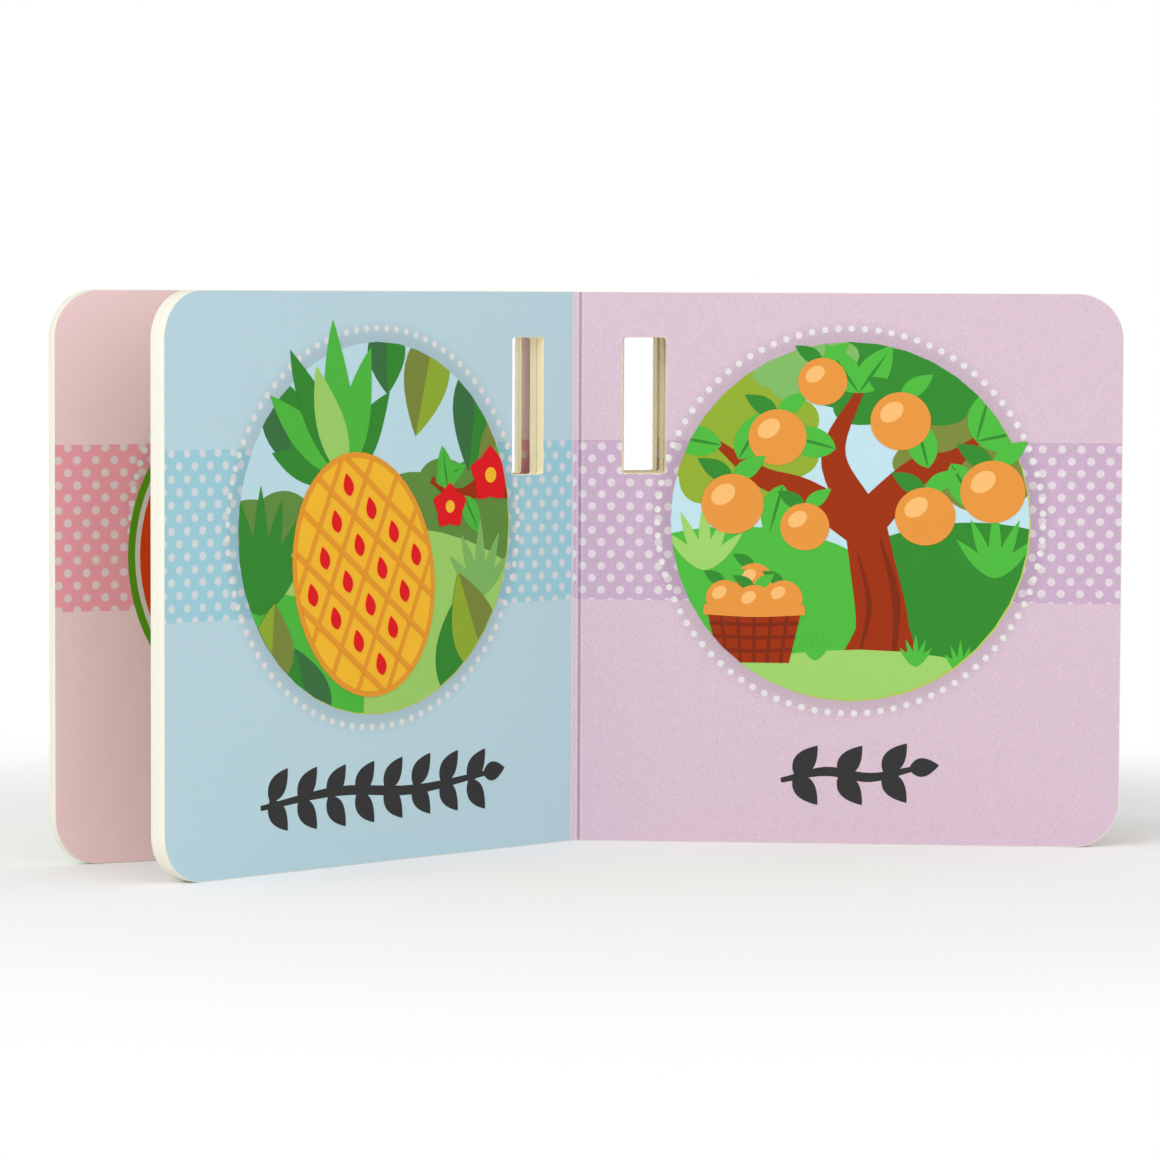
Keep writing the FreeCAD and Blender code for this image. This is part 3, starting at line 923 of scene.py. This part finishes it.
class Drawing:
    """Shapes of printed ink, each over those before it."""

    def __init__(self):
        self.shapes = []

    def add(self, ink, outline, free=False, within=None):
        """free lets a shape run past the picture's edge, and within keeps it inside another outline."""
        self.shapes.append((ink, outline, free, within))

    def levels(self):
        """How high each shape stands: one ink above the highest earlier shape that it may touch."""
        boxes, levels = [], []
        for _, outline, _, _ in self.shapes:
            xs, ys = [p[0] for p in outline], [p[1] for p in outline]
            left, low, right, high = box = (min(xs), min(ys), max(xs), max(ys))
            under = [
                level
                for other, level in zip(boxes, levels)
                if left < other[2] and other[0] < right and low < other[3] and other[1] < high
            ]
            boxes.append(box)
            levels.append(1 + max(under, default=0))
        return levels


def solid_from(outline, low, high):
    """A flat solid: a filled circle dragged to an outline, then extruded."""
    bpy.ops.mesh.primitive_circle_add(vertices=len(outline), radius=1, fill_type="NGON")
    obj = bpy.context.object
    for vertex, (across, up) in zip(obj.data.vertices, outline):
        vertex.co = (across, low, up)
    bpy.ops.object.mode_set(mode="EDIT")
    bpy.ops.mesh.select_all(action="SELECT")
    bpy.ops.mesh.extrude_region_move(TRANSFORM_OT_translate={"value": (0, high - low, 0)})
    bpy.ops.mesh.select_all(action="SELECT")
    bpy.ops.mesh.normals_make_consistent(inside=False)
    bpy.ops.object.mode_set(mode="OBJECT")
    return obj


def ink(name):
    """Offset ink under satin film, one flat colour: deep, with less sheen than the pale grounds."""
    full_name = f"offset_ink_satin_film_{name}"
    if full_name in bpy.data.materials:
        return bpy.data.materials[full_name]
    material, tree, shader = satin_film(full_name, DEEP_SHEEN)
    add_film_grain(tree, shader, linear(INKS[name]), DEEP_GRAIN)
    return material


INKS = {
    "sky": "BFDFE8",
    "cloud": "F1F3F0",
    "leaf": "4DB83D",
    "leaf_deep": "31882C",
    "leaf_pale": "9ED069",
    "lime": "90AC2F",
    "olive": "7A8839",
    "forest": "37703E",
    "grass": "7FB763",
    "moss": "618D3D",
    "rust": "9C2F02",
    "rust_deep": "7E2608",
    "orange": "E5953D",
    "orange_pale": "F6BC72",
    "gold": "F8BD2E",
    "gold_deep": "E79A2B",
    "red": "E2111C",
    "flesh": "D8430F",
    "flesh_pale": "E0593A",
    "rind": "5A9614",
    "rind_pale": "D7CDC6",
    "seed": "231A18",
    "charcoal": "323232",
    "petal": "E57A9A",
    "petal_pale": "F2A9BD",
    "rim": "B9C95A",
}


def add_hills(drawing):
    """Three rounded hills across the foot of a picture."""
    drawing.add("leaf_pale", oval((-14, -26), 34, 22))
    drawing.add("leaf", oval((20, -30), 32, 22))
    drawing.add("grass", oval((-4, -40), 44, 22))


def tuft(drawing, ink_name, base, reach, count, fan_out):
    """A tuft of grass blades fanned out over an angle in degrees, the middle ones longest."""
    for i in range(count):
        aside = i / (count - 1) - 0.5
        blade = leaf_outline(base, reach * (1 - 0.5 * abs(aside)), reach / 6, 90 + fan_out * aside)
        drawing.add(ink_name, blade)


def spray(drawing, base, direction, reach, wide=7.0):
    """A leaf with its midrib."""
    drawing.add("leaf", leaf_outline(base, reach, wide, direction))
    drawing.add("leaf_deep", leaf_outline(base, reach * 0.86, wide * 0.1, direction))


def folded_leaves(drawing, *leaves):
    """Broad leaves folded along their midribs: base, direction, reach, width, ink of the light half."""
    for base, direction, reach, wide, light in leaves:
        outline = leaf_outline(base, reach, wide, direction)
        drawing.add({"leaf_deep": "forest", "lime": "olive"}[light], outline)
        drawing.add(light, outline[: len(outline) // 2 + 1])


def blossom(drawing, centre, radius):
    """A flower of five petals, seen from the front."""
    for i in range(5):
        drawing.add("red", leaf_outline(centre, radius, radius * 0.95, 90 + 72 * i))
    drawing.add("gold", oval(centre, radius * 0.26, radius * 0.26))


def draw_pineapple(drawing):
    """A pineapple and two blossoms among broad leaves."""
    drawing.add("moss", scalloped((20, 1), 22, 11, 12))
    drawing.add("moss", scalloped((-22, -2), 18, 9, 10))
    drawing.add("leaf_pale", oval((2, -27), 44, 27))
    drawing.add("leaf", oval((-27, -30), 24, 20))
    folded_leaves(
        drawing,
        ((-24, 26), -72, 17, 10, "leaf_deep"),
        ((14, 35), -104, 20, 11, "lime"),
        ((25, 30), -98, 21, 11, "leaf_deep"),
        ((34, 20), -126, 16, 9, "lime"),
        ((2, 36), -88, 13, 9, "leaf_deep"),
    )
    drawing.add("rust", limb([(36, 5), (27, 7), (20, 5), (13, 8)], (4.4, 3.4, 2.6, 1.2)))
    for base, direction in (((26, 7), 62), ((21, 5), -60), ((14, 7.6), 20), ((17, 6), 100)):
        spray(drawing, base, direction, 8, wide=4)
    tuft(drawing, "leaf_deep", (-27, -14), 22, 7, 84)
    tuft(drawing, "grass", (25, -13), 14, 5, 90)
    folded_leaves(
        drawing,
        ((20, -33), 86, 23, 13, "leaf_deep"),
        ((27, -27), 112, 20, 11, "lime"),
        ((-14, -36), 108, 17, 11, "leaf_deep"),
        ((-25, -27), 86, 15, 10, "lime"),
    )
    blossom(drawing, (27.5, 8.5), 5.2)
    blossom(drawing, (17.5, 3.2), 4.2)
    for direction, reach, ink_name in (
        (160, 17, "leaf_deep"),
        (48, 18, "leaf_deep"),
        (136, 22, "leaf"),
        (70, 23, "leaf"),
        (116, 25, "leaf_deep"),
        (92, 27, "leaf"),
        (104, 20, "leaf_pale"),
    ):
        drawing.add(ink_name, leaf_outline((-8, 9), reach, 6.5, direction, 1.5), free=True)
    add_pineapple_body(drawing, (-3, -8), 14)


def way(degrees):
    """A step of length 1 along a direction in degrees."""
    return Vector((math.cos(math.radians(degrees)), math.sin(math.radians(degrees))))


def add_pineapple_body(drawing, centre, lean):
    """A pineapple leant by degrees, with crossing ribs and a red eye in each diamond."""
    wide, high, rib_pitch, rib_reach, eye_room = 15.5, 20.5, 6.6, 24, 2.9
    body, places = oval(centre, wide, high, lean), range(-4, 5)
    drawing.add("gold_deep", oval(centre, wide + 1, high + 1, lean), free=True)
    drawing.add("gold", body, free=True)
    ribs = way(52 + lean), way(128 + lean)
    for run in ribs:
        for i in places:
            middle = Vector(centre) + Vector((-run.y, run.x)) * rib_pitch * i
            ends = [middle - run * rib_reach, middle, middle + run * rib_reach]
            drawing.add("gold_deep", limb(ends, (0.9, 0.9, 0.9)), free=True, within=body)
    step = rib_pitch / abs(ribs[0].cross(ribs[1]))
    for i in places:
        for k in places:
            aside = (ribs[0] * (i + 0.5) + ribs[1] * (k + 0.5)) * step
            upright = Matrix.Rotation(math.radians(-lean), 2) @ aside
            if (upright.x / (wide - eye_room)) ** 2 + (upright.y / (high - eye_room)) ** 2 < 1:
                foot = Vector(centre) + aside + Vector((0.4, -1.9))
                drawing.add("red", leaf_outline(foot, 4.0, 2.2, 90 + lean), free=True)


def fruit(drawing, centre, radius, ink_name, pale):
    """A round fruit with a highlight and two small leaves."""
    x, y = centre
    for direction, leaf_ink in ((150, "leaf_deep"), (35, "leaf")):
        small_leaf = leaf_outline((x, y + radius * 0.8), radius * 1.3, radius * 0.6, direction)
        drawing.add(leaf_ink, small_leaf, free=True)
    drawing.add(ink_name, oval(centre, radius, radius * 0.96), free=True)
    highlight = oval((x - radius * 0.3, y + radius * 0.3), radius * 0.42, radius * 0.3, 35)
    drawing.add(pale, highlight, free=True)


def basket(drawing, centre, wide, fruit_name, pale):
    """A woven basket heaped with fruit."""
    x, y = centre
    for across, up in ((0.0, 0.3), (-0.31, 0.12), (0.31, 0.12), (0.0, 0.07)):
        fruit(drawing, (x + across * wide, y + up * wide), wide * 0.2, fruit_name, pale)
    half, deep = wide / 2, wide * 0.56
    foot = half * 0.74
    drawing.add("rust", [(x - half, y), (x - foot, y - deep), (x + foot, y - deep), (x + half, y)])
    for i in range(3):
        up = y - deep * (i + 1) / 4
        run = half * (1 - 0.065 * (i + 1))
        strand = [(x - run, up), (x, up - 0.3), (x + run, up)]
        drawing.add("rust_deep", limb(strand, (0.7, 0.7, 0.7)))
    for i in range(-2, 3):
        stake = [(x + 0.36 * half * i, y), (x + 0.28 * half * i, y - deep)]
        drawing.add("rust_deep", limb(stake, (0.6, 0.6)))
    rim = [(x - half - 0.6, y), (x, y - 0.4), (x + half + 0.6, y)]
    drawing.add("orange", limb(rim, (1.8, 1.8, 1.8)))


def draw_tree(drawing, fruit_name, pale):
    """A fruit tree on hills, and a basket of its fruit."""
    drawing.add("leaf_deep", oval((22, -13), 25, 13))
    drawing.add("leaf", oval((-20, -17), 30, 16))
    drawing.add("lime", scalloped((-20, 15), 15, 14, 10))
    drawing.add("olive", scalloped((22, 13), 15, 11, 10))
    drawing.add("leaf_deep", scalloped((9, 25), 17, 9, 10))
    drawing.add("grass", scalloped((-8, 28), 10, 7, 8))
    tuft(drawing, "leaf_pale", (-26, -9), 13, 5, 90)
    tuft(drawing, "leaf", (26, -10), 13, 5, 90)
    for ink_name, points, widths in (
        ("rust", [(5, -31), (6, -19), (4, -7), (2, 4)], (19, 9.5, 8, 7)),
        ("rust", [(3, -2), (-8, 5), (-16, 8), (-24, 14)], (6.5, 5, 3.6, 1.2)),
        ("rust", [(3, 0), (12, 9), (18, 11), (23, 15)], (7, 5, 3.6, 1.2)),
        ("rust", [(2, 1), (-3, 12), (2, 24)], (6.5, 4.4, 1.2)),
        ("rust_deep", [(8, -26), (8.4, -14), (5.5, -3)], (0.5, 1.6, 0.4)),
        ("rust_deep", [(2, -24), (3.6, -15), (1.6, -6)], (0.4, 1.1, 0.3)),
    ):
        drawing.add(ink_name, limb(points, widths))
    drawing.add("leaf_pale", oval((2, -45), 46, 22))
    for base in ((-6, -25), (12, -26), (20, -27)):
        tuft(drawing, "leaf", base, 6, 5, 80)
    for base, direction in (
        ((-23, 13.5), 170),
        ((-20, 11), 60),
        ((-12, 6.5), 255),
        ((1.5, 23), 125),
        ((1.5, 23), 55),
        ((-2.5, 13), 165),
        ((14, 9.6), 105),
        ((18, 10.5), 300),
        ((22.5, 14.5), 12),
        ((22.5, 14.5), 75),
    ):
        spray(drawing, base, direction, 10.5, wide=5.4)
    for centre, radius in (
        ((-13, 15), 5.2),
        ((-21, 3), 5.6),
        ((-8, -1), 4.4),
        ((9, 18), 5.4),
        ((13.5, 1), 5.4),
        ((25.5, 5.5), 5.8),
        ((-5, 25), 4.4),
    ):
        fruit(drawing, centre, radius, fruit_name, pale)
    basket(drawing, (-17, -16), 17, fruit_name, pale)


def draw_orange_tree(drawing):
    """A tree of oranges."""
    draw_tree(drawing, "orange", "orange_pale")


def draw_apple_tree(drawing):
    """A tree of red apples."""
    draw_tree(drawing, "red", "flesh_pale")


def half_round(middle, radius, turn, drop):
    """Points of a half disc, its straight side turned by degrees and moved down by drop."""
    points = []
    for i in range(HALF_ROUND_STEPS + 1):
        t = math.pi + math.pi * i / HALF_ROUND_STEPS
        local = Vector((radius * math.cos(t), radius * math.sin(t) - drop))
        points.append(tuple(Vector(middle) + Matrix.Rotation(math.radians(turn), 2) @ local))
    return points


def draw_melon(drawing):
    """A slice of melon on hills, under hanging leaves."""
    drawing.add("forest", scalloped((22, 4), 18, 12, 10))
    drawing.add("grass", scalloped((-24, 6), 14, 10, 8))
    add_hills(drawing)
    folded_leaves(
        drawing,
        ((-6, 36), -96, 18, 11, "leaf_deep"),
        ((8, 36), -84, 20, 11, "lime"),
        ((20, 31), -100, 17, 11, "leaf_deep"),
    )
    tuft(drawing, "leaf_deep", (24, -8), 17, 5, 80)
    for direction in (75, 135, 105):
        spray(drawing, (-12, 14), direction, 15)
    middle, turn = (-3.4, -5.0), -30
    for ink_name, radius, drop in (
        ("rind", 31.6, 0.0),
        ("rind_pale", 30.3, 0.0),
        ("flesh", 29.4, 0.0),
        ("flesh_pale", 12, 3.5),
    ):
        drawing.add(ink_name, half_round(middle, radius, turn, drop), free=True)
    for radius, count in ((26.2, 12), (19.5, 8)):
        for i in range(count):
            bearing = 180 + 180 * (i + 0.5) / count + turn
            foot = tuple(Vector(middle) + radius * way(bearing))
            drawing.add("seed", leaf_outline(foot, 4.2, 2.4, bearing + 180), free=True)


def draw_flower(drawing):
    """A pink flower before hills and clouds."""
    drawing.add("grass", scalloped((-27, -2), 11, 12, 8))
    drawing.add("forest", scalloped((27, -1), 12, 13, 8))
    add_hills(drawing)
    drawing.add("cloud", scalloped((-12, 22), 11, 4.6, 7))
    drawing.add("cloud", scalloped((17, 16), 9, 3.8, 7))
    drawing.add("leaf_deep", limb([(2, -30), (-1, -16), (0, 0)], (2.6, 2.2, 2)))
    spray(drawing, (0, -20), 150, 16)
    spray(drawing, (0, -24), 28, 17)
    for ink_name, reach, wide in (("petal", 17, 9.5), ("petal_pale", 11, 3.4)):
        for i in range(8):
            drawing.add(ink_name, leaf_outline((0, 4), reach, wide, 45 * i), free=True)
    drawing.add("gold_deep", oval((0, 4), 6, 6), free=True)
    drawing.add("gold", oval((0, 4), 4.8, 4.8), free=True)


def draw_sun(drawing):
    """The sun over hills."""
    for i in range(14):
        drawing.add("gold", leaf_outline((4, 6), 21, 4.4, 360 * i / 14))
    drawing.add("gold_deep", oval((4, 6), 12.6, 12.6))
    drawing.add("gold", oval((4, 6), 11.4, 11.4))
    drawing.add("cloud", scalloped((-16, 12), 11, 4.8, 7))
    add_hills(drawing)
    tuft(drawing, "leaf_deep", (-18, -14), 11, 5, 90)
    tuft(drawing, "leaf_deep", (19, -18), 12, 5, 90)


def draw_twig(drawing, wide):
    """A leafy twig as wide as the words that it stands in for."""
    ends = [(-wide / 2, -1.2), (-wide / 6, 0.5), (wide / 6, -0.5), (wide / 2, 1.2)]
    drawing.add("charcoal", limb(ends, (0.9, 1.7, 1.7, 0.9)), free=True)
    pairs = int(wide / TWIG_LEAF_PITCH)
    for i in range(pairs):
        t = (i + 0.3) / pairs
        foot = (wide * (t - 0.5), -0.36 * math.sin(2 * math.pi * t))
        for direction in (52, -52):
            drawing.add("charcoal", leaf_outline(foot, 6.8, 3.8, direction), free=True)
    drawing.add("charcoal", leaf_outline((wide / 2 - 1, 1.1), 5.4, 3.4, 8), free=True)


PICTURES = {
    "pineapple": draw_pineapple,
    "orange_tree": draw_orange_tree,
    "apple_tree": draw_apple_tree,
    "melon": draw_melon,
    "flower": draw_flower,
    "sun": draw_sun,
}
PICTURE_NODES = ("picture", "hills", "pineapple", "crown", "tree", "fruit", "melon")


def over_slot(point):
    """Whether a point of a page lies where the slot's die cuts."""
    s, (out, up) = sizes(), slot_middle()
    in_width = abs(point[0] - out) < s.slot_width / 2 + CLEARANCE
    return in_width and abs(point[1] - up) < s.slot_height / 2 + CLEARANCE


def print_drawing(drawing, name, centre_up, base, outward, keeper=None):
    """Models a drawing as one object. keeper cuts what must stay inside the picture."""
    s = sizes()
    pieces, middle = [], s.page_width / 2
    for (ink_name, outline, free, within), level in zip(drawing.shapes, drawing.levels()):
        low, high = sorted((base, base + outward * level * INK))
        placed = [(middle - outward * x, centre_up + y) for x, y in outline]
        piece = solid_from(placed, low, high)
        reach = max(math.hypot(x, y) for x, y in outline)
        if within is not None:
            held = [(middle - outward * x, centre_up + y) for x, y in within]
            cut_away(piece, solid_from(held, low - CLEARANCE, high + CLEARANCE), "INTERSECT")
        elif not free and reach > s.picture / 2:
            apply_modifier(piece, "BOOLEAN", operation="INTERSECT", object=keeper, solver="EXACT")
        if any(over_slot(point) for point in placed):
            cut_away(piece, slot_cutter(SLOT_RIM, low, high))
        piece.data.materials.clear()
        piece.data.materials.append(ink(ink_name))
        pieces.append(piece)
    return join(name, pieces)


class BOOK_OT_pictures(bpy.types.Operator):
    """Prints each page's round picture"""

    bl_idname = "book.pictures"
    bl_label = "Pictures"

    def execute(self, context):
        s, leaves = sizes(), fan()
        up, radius = s.page_height - s.picture_below_top, s.picture / 2
        for page, leaf_name, outward, _, picture in PAGES:
            leaf = leaves[leaf_name]
            base = page_face(page, leaf, outward) + outward * GROUND_INK
            deep = 2 * CLEARANCE
            keeper = solid_from(oval((0, 0), radius, radius), base - deep, base + deep)
            keeper.data.transform(Matrix.Translation((s.page_width / 2, 0, up)))
            drawing = Drawing()
            drawing.add("rim", oval(RIM_SHIFT, radius, radius), free=True)
            drawing.add("sky", oval((0, 0), radius, radius), free=True)
            PICTURES[picture](drawing)
            piece = print_drawing(drawing, f"{page}_drawing", up, base, outward, keeper)
            bpy.data.meshes.remove(keeper.data)
            lay_on(piece, leaf)
            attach(piece, leaf.body)
            parts = [f"{page}_{part}" for part in PICTURE_NODES if f"{page}_{part}" in frame["nodes"]]
            if parts:
                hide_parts(*parts)
        return {"FINISHED"}


class BOOK_OT_twigs(bpy.types.Operator):
    """Prints a leafy twig under the pictures of the inside pages"""

    bl_idname = "book.twigs"
    bl_label = "Twigs"

    def execute(self, context):
        leaves = fan()
        for page, leaf_name, outward, *_ in PAGES:
            if page in OUTSIDES:
                continue
            leaf = leaves[leaf_name]
            base = page_face(page, leaf, outward) + outward * GROUND_INK
            drawing = Drawing()
            draw_twig(drawing, LONG_TWIG if page in LONG_TWIGS else SHORT_TWIG)
            piece = print_drawing(drawing, f"{page}_twig", TWIG_UP, base, outward)
            lay_on(piece, leaf)
            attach(piece, leaf.body)
            if f"{page}_twig" in frame["nodes"]:
                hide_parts(f"{page}_twig")
        return {"FINISHED"}


def seen_as_is(tree):
    """1 for what the camera or a reflection sees, 0 for what lights the book."""
    rays = node(tree, "LightPath").outputs
    return node(tree, "Math", (rays["Is Camera Ray"], rays["Is Glossy Ray"]), operation="MAXIMUM")


def painted_floor():
    """Matt white studio floor: it holds the book's shadow, and turns plain white further off."""
    material, tree, shader = new_material("matt_white_studio_floor", roughness=0.95, specular=0.0)
    shader.inputs["Base Color"].default_value = FLOOR_PAINT
    place = node(tree, "TexCoord").outputs["Object"]
    distance = node(tree, "VectorMath", (place,), operation="LENGTH").outputs["Value"]
    fade = spread(distance, *FLOOR_FADE, 0.0, 1.0)
    far = node(tree, "MapRange", fade, interpolation_type="SMOOTHERSTEP")
    white = node(tree, "Emission", {"Color": WHITE, "Strength": 1.0})
    seen = seen_as_is(tree)
    lift = node(tree, "Math", (seen, FLOOR_LIFT), operation="MULTIPLY")
    lit = node(tree, "AddShader", (shader, node(tree, "Emission", {"Strength": lift})))
    share = node(tree, "Math", (seen, far), operation="MULTIPLY")
    shown = node(tree, "MixShader", (share, lit, white)).outputs[0]
    tree.links.new(shown, tree.nodes["Material Output"].inputs["Surface"])
    return material


def lamp(name, place, power):
    """A soft square lamp that looks at the book."""
    bpy.ops.object.light_add(type="AREA", location=place)
    light = bpy.context.object
    light.name = name
    light.data.size = LAMP_SIZE
    light.data.energy = power
    light.rotation_euler = (Vector(LAMP_AIM) - Vector(place)).to_track_quat("-Z", "Y").to_euler()


class BOOK_OT_studio(bpy.types.Operator):
    """Sets the pale floor, the soft lamps, the white surround and the camera"""

    bl_idname = "book.studio"
    bl_label = "Studio"

    def execute(self, context):
        scene = context.scene
        bpy.ops.mesh.primitive_plane_add(size=FLOOR_SIZE, location=(0, 0, 0))
        floor = context.object
        floor.name = "floor"
        floor.data.materials.append(painted_floor())

        lamp("key", KEY_AT, KEY_POWER)
        lamp("fill", FILL_AT, FILL_POWER)

        world = bpy.data.worlds.new("studio_surround")
        world.use_nodes = True
        scene.world = world
        tree = world.node_tree
        background = tree.nodes["Background"]
        background.inputs["Color"].default_value = WHITE
        strength = node(tree, "MapRange", spread(seen_as_is(tree), 0.0, 1.0, SURROUND, 1.0))
        tree.links.new(strength.outputs[0], background.inputs["Strength"])

        bpy.ops.object.camera_add()
        camera = context.object
        camera.name = "camera"
        crease = fan()["second"].crease * MM
        camera.matrix_world = (
            Matrix.Translation(crease + Vector(CAMERA_FROM_GUTTER) * MM)
            @ Matrix.Rotation(math.radians(90 - CAMERA_PITCH), 4, "X")
            @ Matrix.Rotation(math.radians(CAMERA_ROLL), 4, "Z")
        )
        camera.data.sensor_width = CAMERA_SENSOR
        camera.data.lens = CAMERA_LENS
        camera.data.clip_start = CAMERA_NEAR
        scene.camera = camera
        scene.view_settings.view_transform = "Standard"
        return {"FINISHED"}


class BOOK_PT_panel(bpy.types.Panel):
    """Lists the book's operators and sizes"""

    bl_label = "Stroller book"
    bl_idname = "BOOK_PT_panel"
    bl_space_type = "VIEW_3D"
    bl_region_type = "UI"
    bl_category = "Book"

    def draw(self, context):
        for operator in OPERATORS:
            self.layout.operator(operator.bl_idname)
        for group in (context.scene.book_sizes, context.scene.book_fan, context.scene.book_colours):
            box = self.layout.box()
            for name in group.__annotations__:
                box.prop(group, name)


OPERATORS = (
    BOOK_OT_page_block,
    BOOK_OT_covers,
    BOOK_OT_spine,
    BOOK_OT_page_grounds,
    BOOK_OT_pictures,
    BOOK_OT_twigs,
    BOOK_OT_studio,
)
GROUPS = (BookSizes, BookFan, BookColours)


def register():
    """Adds the operators, the panel and the properties."""
    for cls in (*GROUPS, *OPERATORS, BOOK_PT_panel):
        bpy.utils.register_class(cls)
    bpy.types.Scene.book_sizes = PointerProperty(type=BookSizes)
    bpy.types.Scene.book_fan = PointerProperty(type=BookFan)
    bpy.types.Scene.book_colours = PointerProperty(type=BookColours)


def unregister():
    """Takes them away again."""
    del bpy.types.Scene.book_sizes
    del bpy.types.Scene.book_fan
    del bpy.types.Scene.book_colours
    for cls in reversed((*GROUPS, *OPERATORS, BOOK_PT_panel)):
        bpy.utils.unregister_class(cls)


def main():
    """Runs the operators in order."""
    register()
    for operator in OPERATORS:
        group, name = operator.bl_idname.split(".")
        getattr(getattr(bpy.ops, group), name)()


if __name__ == "__main__":
    main()
